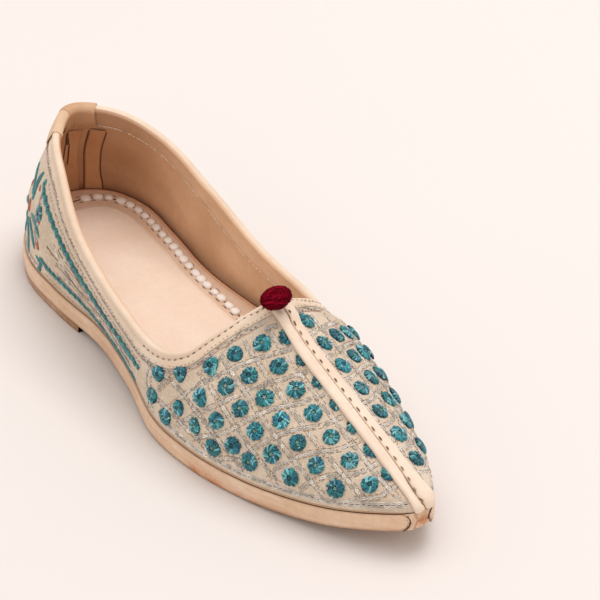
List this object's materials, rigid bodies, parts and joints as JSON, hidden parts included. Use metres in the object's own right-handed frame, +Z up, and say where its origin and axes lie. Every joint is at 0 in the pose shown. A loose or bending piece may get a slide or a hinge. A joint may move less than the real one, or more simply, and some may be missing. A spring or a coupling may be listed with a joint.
{
  "type": "mojari shoe",
  "caption": "Flat slip-on leather shoe with a pointed embroidered vamp, an open bound collar, two straps along the ridge, a wool pompom at the throat and a stacked leather sole",
  "frame": {"origin": "on the floor under the middle of the whole shoe's bounding box", "axes": "+X from heel to toe, +Y to the wearer's left, +Z up; the outer side of this right shoe is at -Y"},
  "size_m": [0.2586, 0.0838, 0.0719],
  "materials": {
    "sole_leather": "matte",
    "lining_leather": "satin",
    "embroidered_leather": "matte",
    "trim_leather": "satin",
    "wool": "matte"
  },
  "bodies": {
    "root": {"outsole": "sole_leather", "sole_edge_strip": "sole_leather", "heel_lift": "sole_leather", "insole": "lining_leather", "insole_pad": "lining_leather", "upper": "embroidered_leather", "collar_binding": "trim_leather", "heel_tab": "trim_leather", "vamp_strap_outer": "trim_leather", "vamp_strap_inner": "trim_leather", "pompom": "wool"}
  },
  "joints": []
}
